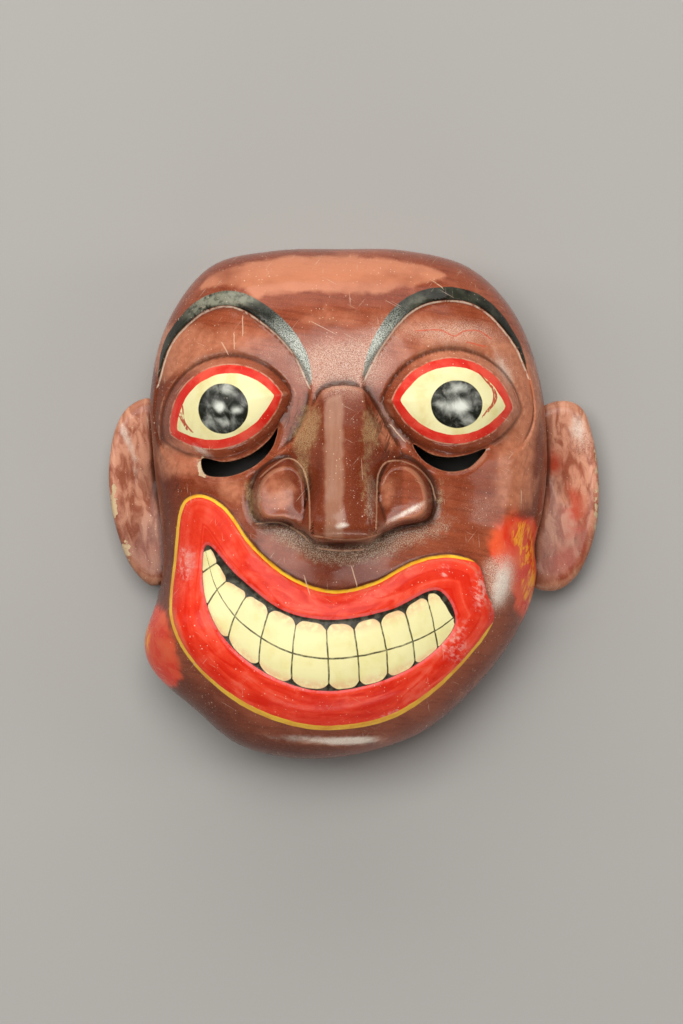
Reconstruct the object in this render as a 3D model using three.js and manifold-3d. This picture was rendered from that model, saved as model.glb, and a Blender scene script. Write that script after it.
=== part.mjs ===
// A sanni dance mask, carved with its ears from one block of light wood and hollowed from behind.
// It lies on its flat back rim with the face up: +Z is the way the face looks and +Y the top of the head.
// The origin is the middle of the mask's outline, on the plane of the rim. Lengths are in millimetres.
import * as THREE from "three";
import { mergeVertices } from "three/addons/utils/BufferGeometryUtils.js";
import Module from "manifold-3d";

const wasm = await Module();
wasm.setup();

// The block and its hollow: the face's height, the rim's plane to the skin, and the walls left standing.
const height = 200;
const faceDepth = 71;
const widestDepth = 26;
const rimTuck = 3;
const sideWall = 10;
const frontWall = 13;
const wallFoot = 14;
const noseHollow = 13;

// The carving, measured out from the skin of the face or into it.
const browStep = 2.2;
const eyeRelief = 9;
const noseRelief = 25;
const wingRelief = 13;
const philtrumDip = 2.5;
const mouthSwell = 8;
const cheekSwell = 6;
const lipRelief = 2.2;
const toothSetback = 1.2;

// How far a form is rooted in the wood, how far its edge dips under the skin, and how far a cut overruns.
const rooting = 8;
const seam = 1.2;
const overcut = 5;

// The ears: how far above the rim's plane they start, their thickness, and how far their edge curls up.
const earLift = 6;
const earThickness = 8.5;
const earCup = 5;
const earTuck = 2;
const conchaDepth = 3;

// Outlines are shares of the height, drawn on a face 200 units tall and looked at from the front.
const unit = height / 200;
const at = ([x, y]) => new THREE.Vector3(x * unit, y * unit, 0);

const face = {
  centre: [-4, 6],
  outline: [
    [-4, 99.8], [20, 99.2], [45, 92.6], [62, 76], [72.5, 50], [75.6, 20], [74, -2], [70.8, -16],
    [71.4, -28], [66, -46], [48, -71], [24, -90.5], [-14, -99.7], [-44, -94.6], [-62, -80.5], [-79, -64.5],
    [-82, -54], [-77, -37], [-74.6, -22], [-78.6, 20], [-79.6, 44], [-73, 71], [-56, 93], [-32, 99],
  ],
};

const ears = [
  {
    centre: [-80, 5],
    concha: [-79, 9],
    outline: [
      [-70, 30], [-80, 41.8], [-88.5, 38.8], [-93.5, 31.5], [-96.6, 16], [-96, 1], [-92.5, -14], [-87, -26],
      [-79, -32.4], [-71, -27],
    ],
  },
  {
    centre: [79, 4],
    concha: [78, 12],
    outline: [
      [67, 28], [75, 38.8], [84, 40.8], [90, 38], [94.3, 27], [96.7, 10], [96.2, -6], [92.8, -19.5],
      [87, -29.5], [79.5, -34.2], [69, -31],
    ],
  },
];

// An eye is an almond between two arcs that bulges from its socket, over a crescent slot to see through.
const eyes = [
  {
    centre: [-49.1, 34.3],
    tilt: 0.329,
    halfLength: 22.6,
    rise: 18.4,
    fall: 12.2,
    socket: [
      [-76.5, 45.3], [-70.4, 62.4], [-57.2, 74.2], [-47, 75.8], [-33.2, 67.8], [-23, 57], [-16.8, 44.3],
      [-24, 24], [-46, 12], [-68, 14], [-77, 28],
    ],
    slot: [
      [-58.5, 17.4], [-49.5, 16.1], [-39.9, 18.8], [-32.5, 24.6], [-29.2, 29.2], [-31, 22], [-36, 16],
      [-43.7, 11.7], [-50.5, 10.3], [-57.5, 11.6],
    ],
  },
  {
    centre: [37.7, 38],
    tilt: -0.054,
    halfLength: 23.1,
    rise: 17.4,
    fall: 14.8,
    socket: [
      [3.5, 47.1], [11.5, 61.8], [23.2, 74.6], [36, 78.2], [48.2, 75.7], [61.4, 62.5], [68, 48.6],
      [69, 30], [56, 14], [34, 11], [12, 24],
    ],
    slot: [
      [22.5, 22.8], [30, 18.8], [37, 17.9], [44.5, 19.2], [50.6, 21.2], [47.5, 16.8], [43.5, 13.6],
      [36.5, 12.3], [30, 14.2], [25, 18],
    ],
  },
];
const lidWidth = 4.5;
const eyeballReach = 15;
const socketFade = { from: -24, to: -8 };

// The nose is a broad ridge from between the brows to a round tip, with a wing on each side.
const nose = {
  centre: [-4, 8],
  outline: [
    [-4, 45.6], [4, 43.6], [8, 38], [13, 29], [19, 18], [20, 4], [18, -6], [9, -14.2], [-4, -18],
    [-17, -14.2], [-26, -6], [-28, 4], [-27, 18], [-21, 29], [-16, 38], [-12, 43.6],
  ],
  bridgeTop: 45,
  tip: -9,
  underside: -13.6,
  wingUnderside: -9.1,
  bridgeShare: 0.12,
  rounding: 0.16,
  halfRidge: 8,
  halfTip: 12,
  halfBridge: 11,
  halfBase: 24,
  spread: 0.62,
};
const wings = [
  {
    centre: [-28, 4],
    outline: [
      [-39.8, 0], [-37.8, 10.5], [-31, 16.6], [-23.5, 17.8], [-18, 12.5], [-16.6, 0], [-17.6, -10.4],
      [-26, -7.6], [-36.5, -6.6],
    ],
  },
  {
    centre: [19, 4],
    outline: [
      [30.7, 0], [28, 11.4], [21.5, 17.2], [13.5, 17.2], [8.2, 10], [7, -2], [8.2, -11.4],
      [18, -8.8], [28.6, -6],
    ],
  },
];

// The grin rises to the left: a raised band of lip around a set-back band of teeth.
const lips = {
  outline: [
    [-59.6, 3.7], [-66, 0.6], [-69.6, -20], [-70.6, -44], [-61.8, -61.4], [-44.4, -76.6], [-23.3, -85.3],
    [-6, -86.8], [16, -82], [38, -65.6], [53.9, -43.4], [50.6, -33.5], [47.5, -23.4], [37.9, -19.4],
    [23.4, -21.4], [7, -29.8], [-8, -32.8], [-23.3, -27.9], [-37.8, -16.3], [-50.2, -0.3],
  ],
};
const teeth = {
  outline: [
    [-56.6, -15.6], [-44.4, -27.2], [-27, -40.3], [-8.8, -43.9], [14, -40], [32, -32.8], [38.8, -44.4],
    [30.7, -56.3], [12.5, -66.8], [-12, -71.3], [-34.2, -64.3], [-50.9, -49.7], [-57.6, -33],
  ],
};

// Where the skin swells or dips, and how far each swelling reaches to the side and up.
const muzzle = { centre: [-12, -62], reach: [44, 26] };
const philtrum = { centre: [-5, -25], reach: [11, 11] };
const cheeks = [
  { centre: [-70, -50], reach: [17, 17] },
  { centre: [60, -30], reach: [20, 20] },
];
const noseCavity = { centre: [-4, 2], reach: [11, 20] };

// The dome of the face is fuller from brow to chin than from side to side, and its edge is well rounded.
const domeForm = { across: 2.4, along: 4.2, roundness: 0.465 };

// Facets round and rings across each carved surface.
const mesh = {
  face: { around: 72, rings: 16 },
  hollow: { around: 40, rings: 9 },
  eye: { around: 34, rings: 8 },
  nose: { around: 44, rings: 12 },
  wing: { around: 24, rings: 6 },
  ear: { around: 32, rings: 4 },
};
const outlineSteps = 400;
const cutSteps = { socket: 44, slot: 30, lips: 90, teeth: 60 };

const ease = (from, to, value) => {
  const t = THREE.MathUtils.clamp((value - from) / (to - from), 0, 1);
  return t * t * (3 - 2 * t);
};
const swell = (x, y, { centre, reach }) =>
  Math.exp(-(((x / unit - centre[0]) / reach[0]) ** 2) - ((y / unit - centre[1]) / reach[1]) ** 2);

// The distance from the centre of a form to its outline in any direction, from a smooth closed curve.
function reachOf({ centre, outline }) {
  const middle = at(centre);
  const curve = new THREE.CatmullRomCurve3(outline.map(at), true, "centripetal");
  const ring = curve.getPoints(outlineSteps).slice(1).map((point) => {
    const arm = point.sub(middle);
    return { angle: Math.atan2(arm.y, arm.x), radius: arm.length() };
  });
  ring.sort((a, b) => a.angle - b.angle);
  return (angle) => {
    let next = ring.findIndex((spoke) => spoke.angle > angle);
    if (next < 0) next = 0;
    const after = ring[next];
    const before = ring.at(next - 1);
    const turn = THREE.MathUtils.euclideanModulo(after.angle - before.angle, 2 * Math.PI) || 1;
    const share = THREE.MathUtils.euclideanModulo(angle - before.angle, 2 * Math.PI) / turn;
    return THREE.MathUtils.lerp(before.radius, after.radius, share);
  };
}

const faceReach = reachOf(face);
const faceMiddle = at(face.centre);

// A dome from 1 at the middle of the face to 0 at the edge.
function dome(share, angle) {
  const fullness = THREE.MathUtils.lerp(domeForm.across, domeForm.along, Math.sin(angle) ** 2);
  return (1 - Math.min(1, share) ** fullness) ** domeForm.roundness;
}

// The skin of the face before its features are carved.
function skin(x, y) {
  const angle = Math.atan2(y - faceMiddle.y, x - faceMiddle.x);
  const share = Math.hypot(x - faceMiddle.x, y - faceMiddle.y) / faceReach(angle);
  const inside = ease(1, 0.8, share);
  let z = widestDepth + (faceDepth - widestDepth) * dome(share, angle);
  z += inside * (mouthSwell * swell(x, y, muzzle) - philtrumDip * swell(x, y, philtrum));
  for (const cheek of cheeks) z += inside * cheekSwell * swell(x, y, cheek);
  return z;
}

function hollowTop(x, y) {
  const angle = Math.atan2(y - faceMiddle.y, x - faceMiddle.x);
  const share = Math.hypot(x - faceMiddle.x, y - faceMiddle.y) / (faceReach(angle) - sideWall);
  const arch = (faceDepth - frontWall - wallFoot) * dome(share, angle);
  return wallFoot + arch + noseHollow * swell(x, y, noseCavity);
}

function socketFloor(eye, x, y) {
  const above = y / unit - eye.centre[1];
  return skin(x, y) - browStep * ease(socketFade.from, socketFade.to, above);
}

// The outline of a form as a prism, from inside the hollow to well above the face.
function prismOf(outline, steps) {
  const curve = new THREE.CatmullRomCurve3(outline.map(at), true, "centripetal");
  const points = curve.getPoints(steps).slice(1).map((point) => new THREE.Vector2(point.x, point.y));
  const options = { depth: 2 * faceDepth, bevelEnabled: false };
  const geometry = new THREE.ExtrudeGeometry(new THREE.Shape(points), options);
  geometry.deleteAttribute("normal");
  geometry.deleteAttribute("uv");
  return solidOf(mergeVertices(geometry, 1e-4)).translate([0, 0, wallFoot]);
}

// The signed distance to an eye's almond, below zero inside it.
function almond(eye, x, y) {
  const dx = x / unit - eye.centre[0];
  const dy = y / unit - eye.centre[1];
  const along = dx * Math.cos(eye.tilt) + dy * Math.sin(eye.tilt);
  const across = dy * Math.cos(eye.tilt) - dx * Math.sin(eye.tilt);
  const upper = (eye.halfLength ** 2 + eye.rise ** 2) / (2 * eye.rise);
  const lower = (eye.halfLength ** 2 + eye.fall ** 2) / (2 * eye.fall);
  return Math.max(
    Math.hypot(along, across - eye.rise + upper) - upper,
    Math.hypot(along, across + eye.fall - lower) - lower,
  );
}

function eyeTop(eye, x, y) {
  const t = THREE.MathUtils.clamp((lidWidth - almond(eye, x, y)) / (lidWidth + eyeballReach), 0, 1);
  return socketFloor(eye, x, y) - seam + (eyeRelief + seam) * Math.sqrt(1 - (1 - t) ** 2);
}

// The reach of an eye with its lid: out to where the almond is the lid's width away.
function lidReach(eye) {
  const middle = at(eye.centre);
  return (angle) => {
    let near = 0;
    let far = eye.halfLength * 1.5 * unit;
    for (let i = 0; i < 24; i++) {
      const radius = (near + far) / 2;
      const edge = almond(eye, middle.x + radius * Math.cos(angle), middle.y + radius * Math.sin(angle));
      if (edge < lidWidth) near = radius;
      else far = radius;
    }
    return near;
  };
}

function noseTop(x, y) {
  const v = y / unit;
  const side = Math.abs(x / unit - nose.centre[0]);
  const down = THREE.MathUtils.clamp((nose.bridgeTop - v) / (nose.bridgeTop - nose.tip), 0, 1);
  const crest = noseRelief * THREE.MathUtils.lerp(nose.bridgeShare, 1, down ** 0.9);
  const halfRidge = THREE.MathUtils.lerp(nose.halfRidge, nose.halfTip, ease(12, nose.tip, v));
  const halfNose = Math.min(nose.halfBase, nose.halfBridge + nose.spread * (nose.bridgeTop - v));
  const flank = THREE.MathUtils.clamp((side - halfRidge) / (halfNose - halfRidge), 0, 1);
  const rounding = nose.rounding * crest;
  const across = side < halfRidge
    ? crest - rounding * (1 - Math.sqrt(1 - (side / halfRidge) ** 2))
    : (crest - rounding) * (1 - flank) * (1 - 0.45 * flank) - seam * flank;
  const under = THREE.MathUtils.lerp(nose.underside, nose.wingUnderside, ease(9, 17, side));
  return skin(x, y) - seam + (across + seam) * ease(under - 4, under + 1.5, v);
}

function wingTop(x, y, share) {
  return skin(x, y) - seam + (wingRelief + seam) * Math.sqrt(1 - Math.min(1, share) ** 3);
}

function earTop(ear, x, y, share) {
  const cup = earCup * share ** 2 - conchaDepth * swell(x, y, { centre: ear.concha, reach: [9, 9] });
  return earLift + earThickness + cup;
}

// A solid inside an outline whose top and underside follow two height functions of x, y and the share of
// the way out from its centre. Its underside may be tucked in, and rings crowd towards the edge.
function carved({ centre, reach, top, under, mesh: { around, rings }, tuck = 0, crowd = 1.6 }) {
  const profile = [new THREE.Vector2(0, 0), new THREE.Vector2(1, 0)];
  for (let i = rings; i >= 0; i--) profile.push(new THREE.Vector2(1 - (1 - i / rings) ** crowd, 1));
  const lathe = new THREE.LatheGeometry(profile, around).rotateX(Math.PI / 2);
  lathe.deleteAttribute("normal");
  lathe.deleteAttribute("uv");
  const geometry = mergeVertices(lathe, 1e-5);
  const place = geometry.getAttribute("position");
  const middle = at(centre);
  for (let i = 0; i < place.count; i++) {
    const share = Math.hypot(place.getX(i), place.getY(i));
    const angle = Math.atan2(place.getY(i), place.getX(i));
    const isTop = place.getZ(i) > 0.5;
    const radius = share * (reach(angle) - (isTop ? 0 : tuck));
    const x = middle.x + radius * Math.cos(angle);
    const y = middle.y + radius * Math.sin(angle);
    place.setXYZ(i, x, y, (isTop ? top : under)(x, y, share));
  }
  return solidOf(geometry);
}

function solidOf(geometry) {
  const vertProperties = geometry.getAttribute("position").array;
  const triVerts = new Uint32Array(geometry.index.array);
  return new wasm.Manifold(new wasm.Mesh({ numProp: 3, vertProperties, triVerts }));
}

// The whole block of the face, cut down to a height.
function block(top) {
  return carved({ ...face, reach: faceReach, top, under: () => 0, tuck: rimTuck, mesh: mesh.face });
}

// What a form lets into the block loses: all that stands above its floor inside its outline.
function recess(outline, steps, floor) {
  return prismOf(outline, steps).subtract(block(floor));
}

function carveMask() {
  const root = (x, y) => skin(x, y) - rooting;
  let wood = block(skin);
  for (const eye of eyes) {
    wood = wood.subtract(recess(eye.socket, cutSteps.socket, (x, y) => socketFloor(eye, x, y)));
    const top = (x, y) => eyeTop(eye, x, y);
    wood = wood.add(carved({ centre: eye.centre, reach: lidReach(eye), top, under: root, mesh: mesh.eye }));
  }
  wood = wood.add(carved({ ...nose, reach: reachOf(nose), top: noseTop, under: root, mesh: mesh.nose }));
  for (const wing of wings) {
    wood = wood.add(carved({ ...wing, reach: reachOf(wing), top: wingTop, under: root, mesh: mesh.wing }));
  }
  const lipBlock = block((x, y) => skin(x, y) + lipRelief);
  wood = wood.add(prismOf(lips.outline, cutSteps.lips).intersect(lipBlock));
  const toothFace = (x, y) => skin(x, y) + lipRelief - toothSetback;
  wood = wood.subtract(recess(teeth.outline, cutSteps.teeth, toothFace));
  for (const ear of ears) {
    const top = (x, y, share) => earTop(ear, x, y, share);
    const under = (x, y, share) => earLift + 0.6 * earCup * share;
    const form = { ...ear, reach: reachOf(ear), tuck: earTuck, crowd: 1.2, mesh: mesh.ear };
    wood = wood.add(carved({ ...form, top, under }));
  }
  return wood;
}

function hollowOut(wood) {
  const reach = (angle) => faceReach(angle) - sideWall;
  const hollow = carved({ ...face, reach, top: hollowTop, under: () => -overcut, mesh: mesh.hollow });
  return eyes.reduce((rest, eye) => rest.subtract(prismOf(eye.slot, cutSteps.slot)), wood.subtract(hollow));
}

const carving = hollowOut(carveMask()).getMesh();
const geometry = new THREE.BufferGeometry();
geometry.setAttribute("position", new THREE.BufferAttribute(carving.vertProperties, 3));
geometry.setIndex(new THREE.BufferAttribute(carving.triVerts, 1));
geometry.computeVertexNormals();

const paint = new THREE.MeshStandardMaterial({ color: 0x6b2a1c, roughness: 0.35, metalness: 0 });
const mask = new THREE.Mesh(geometry, paint);
mask.name = "mask";

const part = new THREE.Group();
part.add(mask);
export default part;
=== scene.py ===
# A sanni dance mask: one block of light wood carved into a grinning face with big ears, hollowed from behind,
# painted and lacquered. It lies on its open back rim and looks up, and all its shapes are worked out in mm.
import math

import bmesh
import bpy
import numpy as np
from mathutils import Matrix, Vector, noise


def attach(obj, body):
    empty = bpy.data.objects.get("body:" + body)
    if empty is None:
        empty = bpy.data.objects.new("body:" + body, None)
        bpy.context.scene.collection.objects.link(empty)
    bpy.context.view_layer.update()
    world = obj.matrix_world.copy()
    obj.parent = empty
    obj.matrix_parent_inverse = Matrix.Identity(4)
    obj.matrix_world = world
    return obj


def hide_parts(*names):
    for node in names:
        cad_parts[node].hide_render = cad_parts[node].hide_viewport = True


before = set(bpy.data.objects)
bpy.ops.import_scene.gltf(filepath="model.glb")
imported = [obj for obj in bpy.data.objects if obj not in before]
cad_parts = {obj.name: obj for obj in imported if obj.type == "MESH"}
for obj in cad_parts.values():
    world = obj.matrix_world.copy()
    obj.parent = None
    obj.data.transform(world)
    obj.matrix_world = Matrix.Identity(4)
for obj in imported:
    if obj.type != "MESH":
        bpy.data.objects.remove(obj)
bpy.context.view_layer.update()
MM = 0.001

# The camera hangs over the mask and looks straight down on it, as the photograph looks at it from the front.
# The middle of the mask is a little right of and above the middle of the photograph.
PHOTO_WIDTH = 683
PHOTO_HEIGHT = 1024
MASK_MIDDLE_PIXEL = (354, 504)
CAMERA_HEIGHT = 1.6
FOCAL_PIXELS = 4016
FACE_LEVEL = 0.04

pixel_size = (CAMERA_HEIGHT - FACE_LEVEL) / FOCAL_PIXELS
camera_data = bpy.data.cameras.new("camera")
camera_data.sensor_width = 36
camera_data.lens = camera_data.sensor_width * FOCAL_PIXELS / PHOTO_HEIGHT
camera = bpy.data.objects.new("camera", camera_data)
camera.location = (
    (PHOTO_WIDTH / 2 - MASK_MIDDLE_PIXEL[0]) * pixel_size,
    (MASK_MIDDLE_PIXEL[1] - PHOTO_HEIGHT / 2) * pixel_size,
    CAMERA_HEIGHT,
)
bpy.context.scene.collection.objects.link(camera)
bpy.context.scene.camera = camera

# The block: its outline seen from the front, the depth of the face over the rim, and the hollow's walls.
# The face is a dome that the mouth and the cheeks swell, fuller from brow to chin than from side to side.
FACE_DEPTH = 71
WIDEST_DEPTH = 26
RIM_TUCK = 3
SIDE_WALL = 10
FRONT_WALL = 13
WALL_FOOT = 14
NOSE_HOLLOW = 13
FULLNESS_ACROSS = 2.4
FULLNESS_ALONG = 4.2
EDGE_ROUNDNESS = 0.465
FACE_CENTRE = (-4, 6)
FACE_OUTLINE = [
    (-4, 99.8), (20, 99.2), (45, 92.6), (62, 76), (72.5, 50), (75.6, 20), (74, -2), (70.8, -16),
    (71.4, -28), (66, -46), (48, -71), (24, -90.5), (-14, -99.7), (-44, -94.6), (-62, -80.5), (-79, -64.5),
    (-82, -54), (-77, -37), (-74.6, -22), (-78.6, 20), (-79.6, 44), (-73, 71), (-56, 93), (-32, 99),
]
MUZZLE = {"centre": (-12, -62), "reach": (44, 26), "height": 8}
PHILTRUM = {"centre": (-5, -25), "reach": (11, 11), "height": -2.5}
LEFT_CHEEK = {"centre": (-70, -50), "reach": (17, 17), "height": 6}
RIGHT_CHEEK = {"centre": (60, -30), "reach": (20, 20), "height": 6}
NOSE_CAVITY = {"centre": (-4, 2), "reach": (11, 20), "height": NOSE_HOLLOW}


def ease(start, end, value):
    t = np.clip((value - start) / (end - start), 0, 1)
    return t * t * (3 - 2 * t)


def swell(x, y, form):
    across = (x - form["centre"][0]) / form["reach"][0]
    along = (y - form["centre"][1]) / form["reach"][1]
    return form["height"] * np.exp(-across**2 - along**2)


def smooth_curve(points, closed=True, steps=9):
    """A smooth line through chosen points, round again to the first one if it is closed."""
    p = np.array(points, float)
    if closed:
        p = np.vstack([p[-1:], p, p[:2]])
    else:
        p = np.vstack([2 * p[:1] - p[1:2], p, 2 * p[-1:] - p[-2:-1]])
    p0, p1, p2, p3 = p[:-3], p[1:-2], p[2:-1], p[3:]
    d01, d12, d23 = (np.linalg.norm(b - a, axis=1)[:, None] ** 0.5 for a, b in ((p0, p1), (p1, p2), (p2, p3)))
    leave = ((p1 - p0) / d01 - (p2 - p0) / (d01 + d12) + (p2 - p1) / d12) * d12
    arrive = ((p2 - p1) / d12 - (p3 - p1) / (d12 + d23) + (p3 - p2) / d23) * d12
    t = np.linspace(0, 1, steps, endpoint=False)[None, :, None]
    a, b, m, n = (v[:, None, :] for v in (p1, p2, leave, arrive))
    line = a + m * t + (3 * (b - a) - 2 * m - n) * t**2 + (2 * (a - b) + m + n) * t**3
    line = line.reshape(-1, 2)
    return line if closed else np.vstack([line, p[-2:-1]])


def reach_of(centre, outline):
    """How far an outline lies from a centre in the direction of any angle."""
    arm = smooth_curve(outline, steps=16) - np.array(centre)
    angles = np.arctan2(arm[:, 1], arm[:, 0])
    order = np.argsort(angles)
    angles, radii = angles[order], np.hypot(arm[:, 0], arm[:, 1])[order]
    return lambda angle: np.interp(angle, angles, radii, period=2 * math.pi)


face_reach = reach_of(FACE_CENTRE, FACE_OUTLINE)


def dome(share, angle):
    fullness = FULLNESS_ACROSS + (FULLNESS_ALONG - FULLNESS_ACROSS) * np.sin(angle) ** 2
    return (1 - np.clip(share, 0, 1) ** fullness) ** EDGE_ROUNDNESS


def place_on_face(x, y, inset=0):
    """The direction of a point from the middle of the face, and its share of the way to the edge."""
    angle = np.arctan2(y - FACE_CENTRE[1], x - FACE_CENTRE[0])
    away = np.hypot(x - FACE_CENTRE[0], y - FACE_CENTRE[1])
    return angle, away / (face_reach(angle) - inset)


def skin(x, y):
    """The height of the face before its features are carved."""
    angle, share = place_on_face(x, y)
    z = WIDEST_DEPTH + (FACE_DEPTH - WIDEST_DEPTH) * dome(share, angle)
    swellings = sum(swell(x, y, form) for form in (MUZZLE, PHILTRUM, LEFT_CHEEK, RIGHT_CHEEK))
    return z + ease(1, 0.8, share) * swellings


def hollow_top(x, y):
    """The height of the inside of the hollow, which is deeper behind the nose."""
    angle, share = place_on_face(x, y, SIDE_WALL)
    return WALL_FOOT + (FACE_DEPTH - FRONT_WALL - WALL_FOOT) * dome(share, angle) + swell(x, y, NOSE_CAVITY)


# The eyes: a shallow socket under each brow, a bulging almond of an eye with a rolled lid in it, and a
# crescent slot to see through below. The almonds are drawn with two arcs each.
BROW_STEP = 2.2
SOCKET_FADE = (-24, -8)
EYE_RELIEF = 9
LID_WIDTH = 3.4
EYEBALL_REACH = 15
CREASE_DEPTH = 0.6
SLOT_BEVEL = 1.3
RIM_WIDTH = 3.2
SEAM = 1.2
EYES = [
    {
        "centre": (-49.1, 34.3),
        "tilt": 0.329,
        "half_length": 22.6,
        "rise": 18.4,
        "fall": 12.2,
        "brow": [
            (-76.5, 45.3), (-70.4, 62.4), (-57.2, 74.2), (-47, 75.8), (-33.2, 67.8), (-23, 57), (-16.8, 44.3),
        ],
        "brow_width": 6.5,
        "cheek_side": [(-24, 24), (-46, 12), (-68, 14), (-77, 28)],
        "slot": [
            (-58.5, 17.4), (-49.5, 16.1), (-39.9, 18.8), (-32.5, 24.6), (-29.2, 29.2), (-31, 22), (-36, 16),
            (-43.7, 11.7), (-50.5, 10.3), (-57.5, 11.6),
        ],
        "pupil": (-49.9, 36.3),
        "pupil_size": (9.6, 9.6),
    },
    {
        "centre": (37.7, 38),
        "tilt": -0.054,
        "half_length": 23.1,
        "rise": 17.4,
        "fall": 14.8,
        "brow": [
            (3.5, 47.1), (11.5, 61.8), (23.2, 74.6), (36, 78.2), (48.2, 75.7), (61.4, 62.5), (68, 48.6),
        ],
        "brow_width": 5.7,
        "cheek_side": [(69, 30), (56, 14), (34, 11), (12, 24)],
        "slot": [
            (22.5, 22.8), (30, 18.8), (37, 17.9), (44.5, 19.2), (50.6, 21.2), (47.5, 16.8), (43.5, 13.6),
            (36.5, 12.3), (30, 14.2), (25, 18),
        ],
        "pupil": (39, 37.9),
        "pupil_size": (9.9, 9.1),
    },
]
FAR = 14


def inside_by(x, y, points):
    """How far inside a smooth outline each point lies: below zero outside it, and never under minus FAR."""
    outline = smooth_curve(points)
    depth = np.full(x.shape, -float(FAR))
    low, high = outline.min(0) - FAR, outline.max(0) + FAR
    near = np.flatnonzero((x > low[0]) & (x < high[0]) & (y > low[1]) & (y < high[1]))
    side = np.roll(outline, -1, 0) - outline
    for some in np.array_split(near, len(near) // 8000 + 1):
        px = x[some, None] - outline[:, 0]
        py = y[some, None] - outline[:, 1]
        along = np.clip((px * side[:, 0] + py * side[:, 1]) / (side**2).sum(1), 0, 1)
        gap = np.hypot(px - along * side[:, 0], py - along * side[:, 1]).min(1)
        level = (py < 0) != (py < side[:, 1])
        slope = side[:, 0] / np.where(side[:, 1] == 0, 1e-9, side[:, 1])
        within = (level & (px < slope * py)).sum(1) % 2 == 1
        depth[some] = np.where(within, gap, -np.minimum(gap, FAR))
    return depth


def beside(x, y, line):
    """How far along an open line each point lies, and how far to its left."""
    side = np.diff(line, axis=0)
    length = np.hypot(side[:, 0], side[:, 1])
    start = np.concatenate([[0], np.cumsum(length)[:-1]])
    travel, offset = np.empty_like(x), np.empty_like(x)
    for some in np.array_split(np.arange(len(x)), len(x) // 8000 + 1):
        px = x[some, None] - line[:-1, 0]
        py = y[some, None] - line[:-1, 1]
        along = np.clip((px * side[:, 0] + py * side[:, 1]) / length**2, 0, 1)
        gap = np.hypot(px - along * side[:, 0], py - along * side[:, 1])
        nearest = gap.argmin(1)
        row = np.arange(len(some))
        turn = side[nearest, 0] * py[row, nearest] - side[nearest, 1] * px[row, nearest]
        travel[some] = start[nearest] + along[row, nearest] * length[nearest]
        offset[some] = np.where(turn > 0, 1, -1) * gap[row, nearest]
    return travel, offset


def almond(eye, x, y, corner=0):
    """The distance to an eye's almond, below zero inside it; its two ends reach further by corner."""
    dx, dy = x - eye["centre"][0], y - eye["centre"][1]
    cos, sin = math.cos(eye["tilt"]), math.sin(eye["tilt"])
    along, across = dx * cos + dy * sin, dy * cos - dx * sin
    half, rise, fall = eye["half_length"], eye["rise"], eye["fall"]
    upper = (half**2 + rise**2) / (2 * rise)
    lower = (half**2 + fall**2) / (2 * fall)
    over = np.hypot(along, across - rise + upper) - upper
    under = np.hypot(along, across + fall - lower) - lower
    return np.maximum(over, under) - corner * np.exp(-(((over - under) / 3) ** 2))


def smooth_max(a, b, blend):
    t = np.clip(0.5 + (a - b) / (2 * blend), 0, 1)
    return b + (a - b) * t + blend * t * (1 - t)


def carve_eyes(x, y, z):
    for eye in EYES:
        socket = inside_by(x, y, eye["brow"] + eye["cheek_side"])
        depth = BROW_STEP * ease(*SOCKET_FADE, y - eye["centre"][1]) * ease(-0.7, 0.5, socket)
        edge = almond(eye, x, y)
        t = np.clip((LID_WIDTH - edge) / (LID_WIDTH + EYEBALL_REACH), 0, 1)
        ball = z - depth - SEAM + (EYE_RELIEF + SEAM) * np.sqrt(1 - (1 - t) ** 2)
        over = ease(-4, 6, y - eye["centre"][1] - math.tan(eye["tilt"]) * (x - eye["centre"][0]))
        crease = CREASE_DEPTH * over * np.exp(-(((edge - LID_WIDTH - 0.2) / 0.7) ** 2))
        rim_line = 0.18 * np.exp(-((edge / 0.5) ** 2)) + 0.14 * np.exp(-(((edge + RIM_WIDTH) / 0.4) ** 2))
        z = smooth_max(z - depth - crease, ball - rim_line, 0.5)
        slot = inside_by(x, y, eye["slot"])
        z = z - SLOT_BEVEL * ease(-2.6, 0, slot) ** 2
    return z


# The nose: a broad ridge from between the brows to a round tip, and a wing on each side cut off below.
NOSE_RELIEF = 27
WING_RELIEF = 13
WING_DISH = 0.7
WING_EDGE_DROP = 2.2
WING_SEAM = 0.8
NOSE_MIDDLE = -4
BRIDGE_TOP = 45
NOSE_TIP = -9
TIP_ROUNDING = 4.5
UNDERSIDE = -13.6
WING_UNDERSIDE = -9.1
BRIDGE_SHARE = 0.12
CREST_ROUNDING = 0.16
HALF_RIDGE = 8
HALF_TIP = 12
HALF_BRIDGE = 11
HALF_BASE = 24
SPREAD = 0.62
NOSE_OUTLINE = [
    (-4, 45.6), (4, 43.6), (8, 38), (13, 29), (19, 18), (20, 4), (18, -6), (9, -14.2), (-4, -18),
    (-17, -14.2), (-26, -6), (-28, 4), (-27, 18), (-21, 29), (-16, 38), (-12, 43.6),
]
WINGS = [
    {
        "centre": (-25.5, 1.5),
        "outline": [
            (-39.8, 0), (-37.8, 10.5), (-31, 16.6), (-23.5, 17.8), (-18, 12.5), (-16.6, 0), (-17.6, -10.4),
            (-26, -7.6), (-36.5, -6.6),
        ],
    },
    {
        "centre": (16.5, 1.5),
        "outline": [
            (30.7, 0), (28, 11.4), (21.5, 17.2), (13.5, 17.2), (8.2, 10), (7, -2), (8.2, -11.4),
            (18, -8.8), (28.6, -6),
        ],
    },
]


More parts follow.
